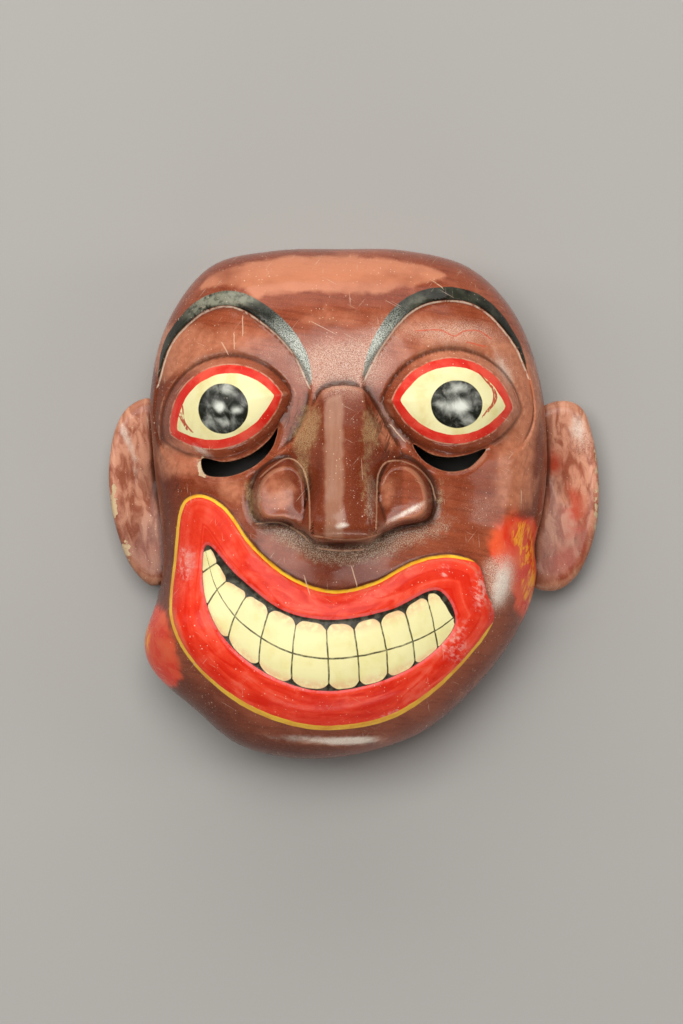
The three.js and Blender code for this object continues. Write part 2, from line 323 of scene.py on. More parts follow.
def carve_nose(x, y, z):
    side = np.abs(x - NOSE_MIDDLE)
    down = np.clip((BRIDGE_TOP - y) / (BRIDGE_TOP - NOSE_TIP), 0, 1)
    crest = NOSE_RELIEF * (BRIDGE_SHARE + (1 - BRIDGE_SHARE) * down**0.9)
    half_ridge = HALF_RIDGE + (HALF_TIP - HALF_RIDGE) * ease(12, NOSE_TIP, y)
    half_nose = np.minimum(HALF_BASE, HALF_BRIDGE + SPREAD * (BRIDGE_TOP - y))
    flank = np.clip((side - half_ridge) / (half_nose - half_ridge), 0, 1)
    rounding = CREST_ROUNDING * crest
    across = np.clip(side / half_ridge, 0, 1)
    roof = 0.75 * (np.sqrt(across**2 + 0.03) - 0.17) + 0.38 * (1 - np.sqrt(1 - across**2))
    top = crest - rounding * roof - TIP_ROUNDING * np.clip((2 - y) / 15, 0, 1) ** 2.5
    slope = (crest - rounding) * (1 - flank) * (1 - 0.45 * flank) - SEAM * flank
    under = UNDERSIDE + (WING_UNDERSIDE - UNDERSIDE) * ease(9, 17, side)
    within = ease(-0.3, 1.2, inside_by(x, y, NOSE_OUTLINE))
    lift = (np.where(side < half_ridge, top, slope) + SEAM) * ease(under - 2.6, under + 1.2, y) * within
    pad = np.hypot((x - NOSE_MIDDLE) / 15, (y + 14.5) / 3.6)
    return smooth_max(z + 1.3 * ease(1.05, 0.85, pad), z - SEAM + lift, 0.8)


def place_on_wing(wing, x, y):
    """A point's share of the way from the middle of a wing of the nose to its edge."""
    dx, dy = x - wing["centre"][0], y - wing["centre"][1]
    return np.hypot(dx, dy) / reach_of(wing["centre"], wing["outline"])(np.arctan2(dy, dx))


def carve_wings(x, y, z, skin_height):
    for wing in WINGS:
        share = place_on_wing(wing, x, y)
        bevel = np.clip((share - 0.74) / 0.26, 0, 1)
        dish = WING_DISH * ease(0.75, 0.2, share) + WING_EDGE_DROP * ease(0.68, 1, share)
        pad = skin_height - SEAM + (WING_RELIEF + SEAM) * (1 - bevel**1.5) - dish
        pad = np.where(share < 1.05, pad, -99)
        z = z - WING_SEAM * np.exp(-(((share - 1.03) * 9) ** 2))
        z = smooth_max(z, pad, 0.5)
    return z


# The mouth: a grin that rises to the left. A raised band of lip lies round a set-back band of teeth, whose
# two rows meet on one line; the gaps between the teeth are given above, on and below that line.
LIP_RELIEF = 2.2
LIP_CROWN = 0.5
TOOTH_SETBACK = 1.2
TOOTH_BULGE = 0.3
LIPS_OUTLINE = [
    (-59.6, 3.7), (-66, 0.6), (-69.6, -20), (-70.6, -44), (-61.8, -61.4), (-44.4, -76.6), (-23.3, -85.3),
    (-6, -86.8), (16, -82), (38, -65.6), (53.9, -43.4), (50.6, -33.5), (47.5, -23.4), (37.9, -19.4),
    (23.4, -21.4), (7, -29.8), (-8, -32.8), (-23.3, -27.9), (-37.8, -16.3), (-50.2, -0.3),
]
TEETH_OUTLINE = [
    (-56.6, -15.6), (-44.4, -27.2), (-27, -40.3), (-8.8, -43.9), (14, -40), (32, -32.8), (38.8, -44.4),
    (30.7, -56.3), (12.5, -66.8), (-12, -71.3), (-34.2, -64.3), (-50.9, -49.7), (-57.6, -33),
]
BITE_LINE = [
    (-57.2, -17.8), (-52.4, -32.3), (-45.1, -43.2), (-34.9, -51.2), (-23.3, -56.7), (-9.5, -58.8),
    (2.1, -57.7), (12.3, -55.6), (21.9, -52.6), (30.7, -48.6), (38.4, -43.3),
]
TOOTH_GAPS = [
    ((-56.5, -15.6), (-56.7, -17), (-57.3, -20)),
    ((-53.2, -20.1), (-55.4, -24.3), (-57.3, -28.5)),
    ((-49.5, -27.2), (-52.4, -32.7), (-54.9, -41)),
    ((-41.5, -33.8), (-45.1, -42.5), (-46.9, -52.6)),
    ((-32.6, -40.3), (-35.3, -50.8), (-35.8, -61.7)),
    ((-22, -45), (-23.3, -56.6), (-23.7, -67.5)),
    ((-10.4, -46.8), (-9.9, -58.8), (-9.3, -69.4)),
    ((-0.2, -46.5), (1.4, -57.7), (2, -68.3)),
    ((9.8, -44.3), (12.3, -55.6), (12.5, -65.4)),
    ((19.1, -40.7), (22.3, -52.3), (22.5, -61)),
    ((27.8, -35.9), (30.7, -48.7), (30.7, -55.6)),
    ((33.6, -34), (38.4, -44), (37, -50.5)),
]


def tooth_places(x, y):
    """Which tooth each point is on, counted along the row, how far it is from the bite line as a share of the
    tooth's height, and how wide that tooth is."""
    line = smooth_curve(BITE_LINE, closed=False)
    travel, offset = beside(x, y, line)
    rows = [beside(*np.array(points).T, line) for points in zip(*TOOTH_GAPS)]
    (top, rise), (middle, _), (bottom, drop) = rows
    upward, downward = np.clip(offset / 12, 0, 1.3), np.clip(-offset / 11, 0, 1.3)
    count = np.zeros_like(x)
    for i in range(len(TOOTH_GAPS) - 1):
        here = middle[i] + (top[i] - middle[i]) * upward + (bottom[i] - middle[i]) * downward
        j = i + 1
        after = middle[j] + (top[j] - middle[j]) * upward + (bottom[j] - middle[j]) * downward
        count += np.clip((travel - here) / np.maximum(after - here, 0.5), 0, 1)
    width = np.interp(count, np.arange(len(TOOTH_GAPS) - 1) + 0.5, np.diff(middle))
    gaps = range(len(TOOTH_GAPS))
    height = np.where(offset > 0, np.interp(count, gaps, rise), -np.interp(count, gaps, drop))
    return count, offset / np.maximum(height, 1), width


def carve_mouth(x, y, z):
    lip = inside_by(x, y, LIPS_OUTLINE)
    teeth = inside_by(x, y, TEETH_OUTLINE)
    band = np.minimum(lip, -teeth)
    z = z + LIP_RELIEF * ease(-0.4, 2.2, lip) + LIP_CROWN * ease(0, 9, band)
    z = z - TOOTH_SETBACK * ease(-1.2, 0.8, teeth)
    count, rise, _ = tooth_places(x, y)
    middle = 1 - np.abs(2 * (count % 1) - 1) ** 4
    return z + TOOTH_BULGE * middle * (1 - np.abs(rise) ** 4).clip(0, 1) * ease(0.4, 1.4, teeth)


# The ears: two cupped plates that stand out from the sides of the head, part of the same block. Each has a
# teardrop hollow beside the head.
EAR_LIFT = 6
EAR_THICKNESS = 8.5
EAR_CUP = 5
CONCHA_DEPTH = 3
EARS = [
    {
        "centre": (-80, 5),
        "concha": (-79, 9),
        "outline": [
            (-70, 30), (-80, 41.8), (-88.5, 38.8), (-93.5, 31.5), (-96.6, 16), (-96, 1), (-92.5, -14),
            (-87, -26), (-79, -32.4), (-71, -27),
        ],
    },
    {
        "centre": (79, 4),
        "concha": (78, 12),
        "outline": [
            (67, 28), (75, 38.8), (84, 40.8), (90, 38), (94.3, 27), (96.7, 10), (96.2, -6), (92.8, -19.5),
            (87, -29.5), (79.5, -34.2), (69, -31),
        ],
    },
]
EAR_AROUND = 96
EAR_RINGS = 40

# The carving: a sphere's rings become the front of the face, its side, the flat back rim and the hollow.
AROUND = 400
DOME_RINGS = 150
SIDE_RINGS = 16
RIM_RINGS = 6
WALL_RINGS = 6
HOLLOW_RINGS = 22
RIM_EDGE = 1.2
MEAN_REACH = 85
TOOL_MARKS = ((0.32, 17, (0, 0, 0)), (0.1, 6, (9, 0, 4)))
GOUGES_IN_HOLLOW = 2.2
SHARP_FROM = 48


def rings_of(mesh, total):
    """For each point of a sphere: the number of its ring, counted from the top, and its angle."""
    co = np.array([v.co for v in mesh.verts])
    ring = np.rint(np.arccos(np.clip(co[:, 2], -1, 1)) / math.pi * total).astype(int)
    return ring, np.arctan2(co[:, 1], co[:, 0])


def wood_piece(name, mesh):
    """The object made from a bmesh whose points are in mm."""
    for v in mesh.verts:
        v.co *= MM
    data = bpy.data.meshes.new(name)
    mesh.to_mesh(data)
    mesh.free()
    piece = bpy.data.objects.new(name, data)
    bpy.context.scene.collection.objects.link(piece)
    return piece


def hand_cut(x, y, z):
    """The unevenness that the carver's tools and the thick paint leave on a surface."""
    places = [Vector(place) for place in zip(x.tolist(), y.tolist(), z.tolist())]
    return np.array([
        sum(depth * noise.noise(place / size + Vector(start)) for depth, size, start in TOOL_MARKS)
        for place in places
    ])


def carve_face():
    total = DOME_RINGS + SIDE_RINGS + RIM_RINGS + WALL_RINGS + HOLLOW_RINGS
    mesh = bmesh.new()
    bmesh.ops.create_uvsphere(mesh, u_segments=AROUND, v_segments=total, radius=1)
    ring, angle = rings_of(mesh, total)
    reach = face_reach(angle)
    tries = np.linspace(0, 1, 3000)
    rise = (FACE_DEPTH - WIDEST_DEPTH) * dome(tries, 0.8)
    travel = np.concatenate([[0], np.cumsum(np.hypot(np.diff(tries) * MEAN_REACH, np.diff(rise)))])
    dome_share = np.interp(np.linspace(0, travel[-1], DOME_RINGS + 1), travel, tries)

    share = dome_share[np.minimum(ring, DOME_RINGS)]
    radius = share * reach
    x, y = FACE_CENTRE[0] + radius * np.cos(angle), FACE_CENTRE[1] + radius * np.sin(angle)
    base = skin(x, y)
    z = carve_mouth(x, y, base)
    z = carve_nose(x, y, z)
    z = carve_wings(x, y, z, base)
    z = carve_eyes(x, y, z)

    drop = np.clip((ring - DOME_RINGS) / SIDE_RINGS, 0, 1)
    side_z = WIDEST_DEPTH + (RIM_EDGE - WIDEST_DEPTH) * drop
    side_radius = reach - RIM_TUCK * (1 - np.clip(side_z / WIDEST_DEPTH, 0, 1)) ** 2
    on_side = ring > DOME_RINGS
    across = (ring - DOME_RINGS - SIDE_RINGS) / RIM_RINGS
    outer, inner = reach - RIM_TUCK, reach - SIDE_WALL
    on_rim = (across > 0) & (across <= 1)
    flat = np.clip((across - 1 / RIM_RINGS) / (1 - 2 / RIM_RINGS), 0, 1)
    rim_radius = outer - RIM_EDGE * 0.7 + flat * (inner - outer + RIM_EDGE * 1.4)
    last = across > 0.99

    up = (ring - DOME_RINGS - SIDE_RINGS - RIM_RINGS) / WALL_RINGS
    for here, height, reach_here in (
        (on_side, side_z, side_radius),
        (on_rim, np.where(last, RIM_EDGE, 0), np.where(last, inner, rim_radius)),
        ((up > 0) & (up <= 1), RIM_EDGE + (WALL_FOOT - RIM_EDGE) * up, inner),
    ):
        z, radius = np.where(here, height, z), np.where(here, reach_here, radius)

    inward = (total - ring) / HOLLOW_RINGS
    in_hollow = inward < 1
    hollow_share = np.interp(inward, np.linspace(0, 1, DOME_RINGS + 1), dome_share)
    radius = np.where(in_hollow, hollow_share * inner, radius)
    x, y = FACE_CENTRE[0] + radius * np.cos(angle), FACE_CENTRE[1] + radius * np.sin(angle)
    z = np.where(in_hollow, hollow_top(x, y), z)

    outside = ring < DOME_RINGS + SIDE_RINGS - 2
    cut = hand_cut(x, y, z)
    z = z + np.where(ring < DOME_RINGS, cut, 0)
    z = z + np.where(in_hollow, GOUGES_IN_HOLLOW * cut, 0)
    push = np.where(outside & on_side, cut, 0)
    x, y = x + push * np.cos(angle), y + push * np.sin(angle)
    for v, place in zip(mesh.verts, np.column_stack([x, y, z])):
        v.co = place
    return wood_piece("carved_mask", mesh)


def carve_ear(ear, name):
    mesh = bmesh.new()
    bmesh.ops.create_uvsphere(mesh, u_segments=EAR_AROUND, v_segments=EAR_RINGS, radius=1)
    ring, angle = rings_of(mesh, EAR_RINGS)
    half = EAR_RINGS / 2
    turn = (half - np.abs(ring - half)) / half
    share = np.sin(turn * math.pi / 2) ** 0.8
    share = np.where(ring % EAR_RINGS == 0, 0, share)
    reach = reach_of(ear["centre"], ear["outline"])(angle)
    x, y = ear["centre"][0] + share * reach * np.cos(angle), ear["centre"][1] + share * reach * np.sin(angle)
    rounding = np.sqrt(np.clip(1 - share**10, 0, 1))
    middle = EAR_LIFT + EAR_THICKNESS / 2 + 0.8 * EAR_CUP * share**2
    thick = (EAR_THICKNESS / 2 + 0.2 * EAR_CUP * share**2) * rounding
    dx, dy = x - ear["concha"][0], y - ear["concha"][1]
    concha = CONCHA_DEPTH * np.exp(-((dx / 7) ** 2) - (dy / 10) ** 2)
    top = middle + thick - concha + hand_cut(x, y, middle)
    z = np.where(ring <= half, top, middle - thick)
    for v, place in zip(mesh.verts, np.column_stack([x, y, z])):
        v.co = place
    return wood_piece(name, mesh)


def cutter(name, outline):
    """A straight prism with the outline of a slot, long enough to cut right through the front wall."""
    mesh = bmesh.new()
    corners = [mesh.verts.new((px, py, WALL_FOOT)) for px, py in smooth_curve(outline, steps=5)]
    floor = mesh.faces.new(corners)
    raised = bmesh.ops.extrude_face_region(mesh, geom=[floor])["geom"]
    tops = [v for v in raised if isinstance(v, bmesh.types.BMVert)]
    bmesh.ops.translate(mesh, verts=tops, vec=(0, 0, 2 * FACE_DEPTH))
    bmesh.ops.recalc_face_normals(mesh, faces=mesh.faces)
    return wood_piece(name, mesh)


def join_or_cut(piece, other, operation):
    step = piece.modifiers.new(operation.lower(), "BOOLEAN")
    step.operation = operation
    step.object = other
    step.solver = "MANIFOLD"


mask = carve_face()
tools = []
for number, ear in enumerate(EARS):
    tools.append(carve_ear(ear, f"ear_{number}"))
    join_or_cut(mask, tools[-1], "UNION")
for number, eye in enumerate(EYES):
    tools.append(cutter(f"slot_{number}", eye["slot"]))
    join_or_cut(mask, tools[-1], "DIFFERENCE")
bpy.context.view_layer.update()
finished = bpy.data.meshes.new_from_object(mask.evaluated_get(bpy.context.evaluated_depsgraph_get()))
mask.modifiers.clear()
mask.data = finished
for tool in tools:
    bpy.data.objects.remove(tool)
for polygon in mask.data.polygons:
    polygon.use_smooth = True
mask.data.set_sharp_from_angle(angle=math.radians(SHARP_FROM))
print("mask triangles", sum(len(p.vertices) - 2 for p in mask.data.polygons))

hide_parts("mask")
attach(mask, "root")

# The paint map: where each colour goes is worked out for every point of the finished carving, as distances in
# mm to the painted lines and as soft spots, because the painter followed the carving by hand.
def store(piece, name, values):
    layer = piece.data.attributes.new(name, "FLOAT", "POINT")
    layer.data.foreach_set("value", np.asarray(values, np.float32))


def mm_places(piece):
    co = np.empty(len(piece.data.vertices) * 3, np.float32)
    piece.data.vertices.foreach_get("co", co)
    return co.reshape(-1, 3).astype(float) / MM


def spread(values, edges, count, times):
    """Values averaged with their neighbours over the surface, again and again."""
    meeting = np.maximum(np.bincount(edges.ravel(), minlength=count), 1)
    one, other = edges.T
    for _ in range(times):
        total = np.column_stack([
            np.bincount(one, column[other], count) + np.bincount(other, column[one], count)
            for column in values.T
        ])
        values = 0.4 * values + 0.6 * total / meeting[:, None]
    return values


def hollows(piece, co, times):
    """How far each point lies under its smoothed surroundings: above zero in grooves, below zero on edges."""
    edges = np.empty(len(piece.data.edges) * 2, np.int32)
    piece.data.edges.foreach_get("vertices", edges)
    normals = np.empty(len(co) * 3, np.float32)
    piece.data.vertices.foreach_get("normal", normals)
    smoothed = spread(co, edges.reshape(-1, 2), len(co), times)
    return ((smoothed - co) * normals.reshape(-1, 3)).sum(1)


def spots(x, y, places):
    """Soft painted or worn spots, each with its middle, its reach, its turn in degrees and its strength."""
    total = np.zeros_like(x)
    for cx, cy, long, short, turn, strength in places:
        cos, sin = math.cos(math.radians(turn)), math.sin(math.radians(turn))
        along, across = (x - cx) * cos + (y - cy) * sin, (y - cy) * cos - (x - cx) * sin
        total += strength * np.exp(-((along / long) ** 2) - (across / short) ** 2)
    return total


SPOTS = {
    "blush": [
        (-79, -46, 6, 9, 0, 1), (-76, -58, 7, 10, 0, 1.1), (-72, -66, 5, 6, 30, 0.8),
        (64, -15, 9, 10, 0, 1.35), (67, -32, 6, 12, 10, 1.2), (57, -20, 6, 6, 0, 0.5),
    ],
    "ember": [(67.5, -27, 3.2, 14, 4, 1.1), (64, -12, 5, 6, 0, 0.6), (-81, -50, 2.5, 11, 0, 0.7)],
    # Powdery frost, in part a painted highlight: between the brows, on the right cheek, the right ear and the
    # right wing's lower edge.
    "frost_and_glare": [
        (-5, 54, 19, 9, 0, 1), (-5, 47, 12, 8, 0, 0.5), (38, 66, 20, 5, 0, 0.8), (59, 52, 5, 10, 20, 0.5),
        (10, 66, 10, 6, 40, 0.3), (56.5, -30, 5.5, 10, -14, 1.3), (54, -24, 5, 4, 0, 0.6),
        (-34, 58, 6, 12, -40, 0.25), (48, -2, 9, 7, 0, 0.35), (90, 26, 5, 8, 0, 0.8),
        (12, -8, 6, 2, 30, 0.5), (24, -2, 6, 2, 35, 0.5),
    ],
    # Painted sheen: pale haze where the lacquer reflects the light, on the forehead, round the eyes, on the
    # nose's wings, the ears and the chin.
    "painted_sheen": [
        (-4, 71, 32, 6, 0, 0.45), (38, 60, 24, 12, 0, 0.8), (60, 52, 7, 12, 20, 0.5),
        (-48, 62, 20, 9, 0, 0.45), (-58, 60, 14, 10, 0, 0.35), (-68, 60, 8, 10, 30, 0.9),
        (66, 44, 6, 14, 0, 0.8), (12.5, 29, 4, 10, 8, 1), (-74, 56, 5, 12, 0, 0.7),
        (-66, 18, 9, 7, -20, 1.2), (-28, 4, 7.5, 8, 0, 0.8), (12.5, 4, 4.5, 9, 0, 0.6),
        (52, 4, 12, 10, 0, 0.4), (-47, 5, 8, 7, 0, 0.7), (-5, -91.4, 20, 2.6, 0, 0.7),
        (44, -72, 14, 3, 48, 0.4), (-88, 20, 5, 12, 0, 1.3), (-84, -12, 4, 12, 0, 0.7),
        (87, 25, 6, 10, 0, 1), (90, -6, 4, 16, 0, 0.5), (68, 38, 5, 14, 0, 0.8), (60, 20, 7, 20, 0, 0.75),
        (-36, -88, 12, 3, -20, 0.4), (68, 6, 5, 16, 0, 0.5), (-74, 14, 4, 12, 0, 0.3),
    ],
    "dust": [
        (-18, 28, 5, 11, -16, 1.1), (-19, 12, 3, 7, 0, 0.6), (6, 28, 4, 10, 6, 0.8), (4, 8, 3, 12, 0, 0.6),
        (-40, 4, 2.5, 9, 10, 0.6), (33, 4, 2.5, 9, -10, 0.5), (-36, -4, 9, 7, -40, 0.3),
    ],
    "ash": [
        (-24, -13, 12, 4, -22, 1.1), (12, -15, 11, 4, 18, 1.1), (-5, -20, 16, 4, 0, 0.8),
        (28, -11, 14, 4, 20, 0.7), (-37, 2, 3, 9, 0, 0.6), (6, 2, 2.4, 11, 0, 0.8), (33, 2, 3, 9, 0, 0.5),
    ],
    # Painted highlights: the chin, the nose tip, the right cheek, the right wing, the ears, the lips' left
    # corner, round the eyes.
    "painted_highlight": [
        (-12, -91, 20, 1.8, -4, 0.8), (0, -91.2, 10, 1.5, 3, 1.2), (-4.6, -8.2, 2.8, 1.2, 6, 1.2),
        (56.5, -31, 3.6, 9.5, -14, 1.3), (20, -3, 8, 1.2, 28, 1.1), (-58, 20, 6, 1.6, -34, 0.8),
        (57, 53, 2.5, 9, 28, 0.7), (-90, 27, 1.6, 8, 22, 0.9), (-86, 12, 1.4, 10, 6, 0.5),
        (88, 30, 3.6, 6, 10, 0.9), (-63, -22, 3, 7, 0, 0.6), (37, 62, 12, 2, 6, 0.4),
    ],
    "rose": [
        (79, 15.4, 3, 5, 0, 1.2), (87, 0, 4, 9, 0, 0.7), (88, -10, 4, 9, 10, 0.8), (82, -22, 8, 7, 0, 0.7),
        (-66, 18, 7, 6, 0, 0.4), (-80, -20, 6, 5, 0, 0.4),
    ],
    "chips": [
        (-94.5, 0, 1.8, 8, 0, 1), (-90, -19, 2, 6, 0, 1), (95.5, 2, 1.2, 26, 0, 0.8),
        (-58.6, 14, 1.7, 3.8, 12, 1.5), (87, -31, 6, 2, 30, 0.6),
    ],
    # Scuffs on the lips, and painted highlights where they catch the light.
    "lip_wear_and_gloss": [
        (36, -50, 9, 4, 45, 1), (34, -25.5, 2.2, 3, 0, 1.3), (48, -33, 4, 8, 0, 1),
        (-66, -18, 2, 8, 0, 0.5), (15, -80, 16, 1.6, 22, 0.8), (-64, -26, 5, 9, 0, 0.6),
        (40, -57, 6, 8, -40, 0.7), (-10, -36.5, 14, 1.6, 0, 0.4),
    ],
    # A painted sheen on the brows.
    "sheen": [(-49, 79, 13, 3.4, 0, 1.1), (-62, 74, 6, 4, 40, 0.5), (24, 78, 8, 3, 30, 0.4)],
    # Milky clouding in the pupils, and painted glints.
    "clouding_and_glint": [
        (-51.2, 36.8, 2.4, 2, 0, 1.2), (-45, 35.6, 3, 1.6, 0, 0.9), (-50, 44, 6, 2.4, 0, 0.7),
        (-51, 31, 5, 1.8, 0, 0.5), (40.6, 37, 3.2, 2.6, 0, 1.4), (34, 37.5, 3.5, 2, -20, 0.7),
        (38, 43.8, 5, 1.8, 10, 0.6), (43, 31, 5, 1.8, 0, 0.5),
    ],
    # Painted shade: under and beside the nose, along the tops of the brows, under the slots and beside the
    # left ear.
    "painted_shade": [
        (-8, -27, 24, 5.5, 0, 1), (1, 12, 3.4, 24, 0, 0.9), (-13.6, 6, 1.8, 16, 0, 0.8),
        (-78, 9.7, 4, 11, 0, 0.8), (-71, 8, 5, 5, 0, 0.6), (-50, 4, 16, 2, -12, 0.5),
        (30, 8, 12, 4, 0, 0.4), (-4, 78, 44, 3, 0, 0.35), (22, 2, 4, 6, 0, 0.5), (21, 26, 2.6, 7, 30, 0.8),
        (-26, 27, 4, 7, -24, 0.5),
    ],
    "wrinkle": [
        (11, 27, 5, 12, 20, 1), (-23, 34, 4, 9, -20, 0.8), (66, 14, 4, 10, 0, 0.5), (-68, 8, 4, 12, 0, 0.6),
    ],
}


# A painted highlight: a pale band across the top of the forehead with clear edges, where the lacquer catches
# the light.
FOREHEAD_HIGHLIGHT = [
    (-59, 83.3), (-54, 89.1), (-44.4, 93), (-28.8, 95.3), (-5.4, 96.1), (12, 94.9), (25.7, 92.6),
    (35.4, 88.3), (29.6, 85.2), (17.9, 82.9), (12, 80.2), (-5.4, 80.9), (-32.7, 80.5), (-37.7, 78.6),
    (-42.4, 82.9), (-52, 83.7),
]

# Thin lines drawn or scraped into the paint: arcs in the outer corners of the eyes, a red one over the right
# eye, pale scrapes in the left socket and beside the nose, and the pale edges of the wings and the nose,
# partly worn and partly a painted highlight.
THIN_LINES = {
    "corner_line": [
        [(48.1, 49.6), (53.1, 43.1), (53.1, 39.2), (49.2, 33.5)], [(51, 47), (54.6, 41), (51, 34.9)],
        [(-65.8, 37.5), (-65, 31.5), (-62.3, 27.7)], [(-66.9, 33.5), (-64.2, 28.5)],
    ],
    "red_line": [
        [(24, 66.3), (33, 66.5), (38.8, 64.3), (42, 66.3), (48.5, 66.3), (52.3, 63.7)],
        [(44, 62), (50, 60.5)],
    ],
    "scrape": [
        [(-42.8, 71.5), (-42.6, 65)], [(-46, 65), (-45.8, 60)], [(-50.5, 61.5), (-48.5, 57.8)],
        [(-1, -24), (1, -31)], [(14, 30), (19, 24)], [(64.5, 5), (64.5, 1)], [(-19, -28), (-17, -34)],
        [(30, 86), (34, 83)],
    ],
    # The pale edges of the wings and the nose, partly wear and partly a painted highlight.
    "edge_wear_and_highlight": [
        [
            (-35.5, 10.3), (-30.9, 14.2), (-25.2, 17.3), (-20.1, 14.4), (-17.5, 6.2), (-16.8, -2),
            (-16.8, -9.7),
        ],
        [
            (8.2, -9.2), (8.5, 2.1), (9.2, 11.5), (11.8, 15.5), (16.9, 16.4), (23.6, 13.9), (28.9, 8.3),
            (31, 2.1),
        ],
        [(-37, -7.6), (-28.8, -7.1), (-21.6, -10.4), (-17.5, -14)], [(-13, -17), (-5, -18), (3, -17.4)],
        [(-15.1, -12.1), (-6.4, -13.4), (1.9, -13.4), (9.5, -11.4)],
    ],
}


# The golden line round the lips grows wider under the mouth and is left out at the right corner. The whites
# reach a little further into the corners of the eyes than the red rim's width leaves them.
GILT_WIDTH = 1.25
GILT_WIDTH_BELOW = 2
GILT_BREAK = (51, -33.5, 9.5, 5, 107, 2.6)
WHITE_CORNER = 0.5


# How often the surface is averaged with its neighbours to find its narrow grooves and its broad hollows.
NARROW = 8
BROAD = 60


def beside_nearest(x, y, lines):
    """How far each point lies to the left of the nearest of several lines."""
    offsets = np.array([beside(x, y, smooth_curve(points, closed=False, steps=5))[1] for points in lines])
    return np.take_along_axis(offsets, np.abs(offsets).argmin(0)[None], 0)[0]


def map_paint(piece):
    co = mm_places(piece)
    x, y, z = co.T
    outlines = {"lip": LIPS_OUTLINE, "mouth": TEETH_OUTLINE, "nose": NOSE_OUTLINE, "band": FOREHEAD_HIGHLIGHT}
    for name, outline in outlines.items():
        store(piece, name, inside_by(x, y, outline))
    for name, values in zip(("tooth", "bite", "tooth_width"), tooth_places(x, y)):
        store(piece, name, values)
    unpainted = np.clip(spots(x, y, [GILT_BREAK]), 0, 1)
    widening = (GILT_WIDTH_BELOW - GILT_WIDTH) * ease(-60, -80, y)
    store(piece, "gilt_width", GILT_WIDTH + widening - 2.6 * unpainted)
    store(piece, "almond", np.minimum(*(almond(eye, x, y) for eye in EYES)))
    store(piece, "white", np.minimum(*(almond(eye, x, y, WHITE_CORNER) for eye in EYES)) + RIM_WIDTH)
    pupils = []
    for eye in EYES:
        (px, py), (wide, high) = eye["pupil"], eye["pupil_size"]
        pupils.append(wide * (np.hypot((x - px) / wide, (y - py) / high) - 1))
    store(piece, "pupil", np.minimum(*pupils))
    brows = []
    for eye, inner_end in zip(EYES, (1, 0)):
        travel, offset = beside(x, y, smooth_curve(eye["brow"], closed=False))
        along = np.abs(travel / travel.max() - inner_end)
        thick = eye["brow_width"] * np.sin(math.pi * np.clip(along, 0, 1) ** 0.75).clip(0, 1) ** 0.8
        brows.append((np.minimum(offset, thick - offset), offset, along))
    for name, left, right in zip(("brow", "brow_side", "brow_place"), *brows):
        store(piece, name, np.where(x < NOSE_MIDDLE, left, right))
    # The left half of the nose's crest, which takes a painted highlight.
    store(piece, "ridge", np.minimum(x - NOSE_MIDDLE + 7.2, NOSE_MIDDLE - 0.2 - x))
    store(piece, "along_mouth", beside(x, y, smooth_curve(BITE_LINE, closed=False))[0])
    store(piece, "groove", hollows(piece, co, NARROW))
    share = place_on_face(x, y)[1]
    on_ears = ease(1, 1.04, share)
    store(piece, "ears", on_ears)
    store(piece, "shade", hollows(piece, co, BROAD) * (1 - 0.95 * on_ears))
    for name, places in SPOTS.items():
        fading = ease(14, 36, z) if name in ("blush", "ember", "painted_sheen") else 1
        store(piece, name, spots(x, y, places) * fading)
    for name, lines in THIN_LINES.items():
        offset = beside_nearest(x, y, lines)
        store(piece, name, offset)
        store(piece, name + "_near", np.abs(offset))
    # Painted shade round the edge of the face, fading towards the top and weaker on the right; each ear
    # darker towards the bottom.
    round_edge = ease(0.82, 0.98, share) * (1 - on_ears)
    flank = round_edge * (1 - 0.8 * ease(20, 75, y)) * (0.5 + 0.5 * ease(15, -25, x))
    store(piece, "flank", flank + 0.7 * on_ears * ease(10, -22, y))
    # Painted shade on the outer sides of the nose's wings, round their bevels.
    outward = [np.sign(wing["centre"][0]) * (x - wing["centre"][0]) / 12 for wing in WINGS]
    shares = [place_on_wing(wing, x, y) for wing in WINGS]
    rims = [ease(0.7, 0.8, at) * ease(1.08, 1, at) * ease(-0.6, 0.5, out) for at, out in zip(shares, outward)]
    store(piece, "wing_rim_shade", np.maximum(*rims))


map_paint(mask)


# The paint: thick glossy lacquer, brushed on by hand over the bare wood and worn by years of use. Its nodes
# are added one after another, each wired to the last, and colours are written as on a paint chip.
def colour(chip):
    """A chip's red, green and blue, from 0 to 255, in the linear light that shaders work in."""
    return (*(((part / 255 + 0.055) / 1.055) ** 2.4 for part in chip), 1)


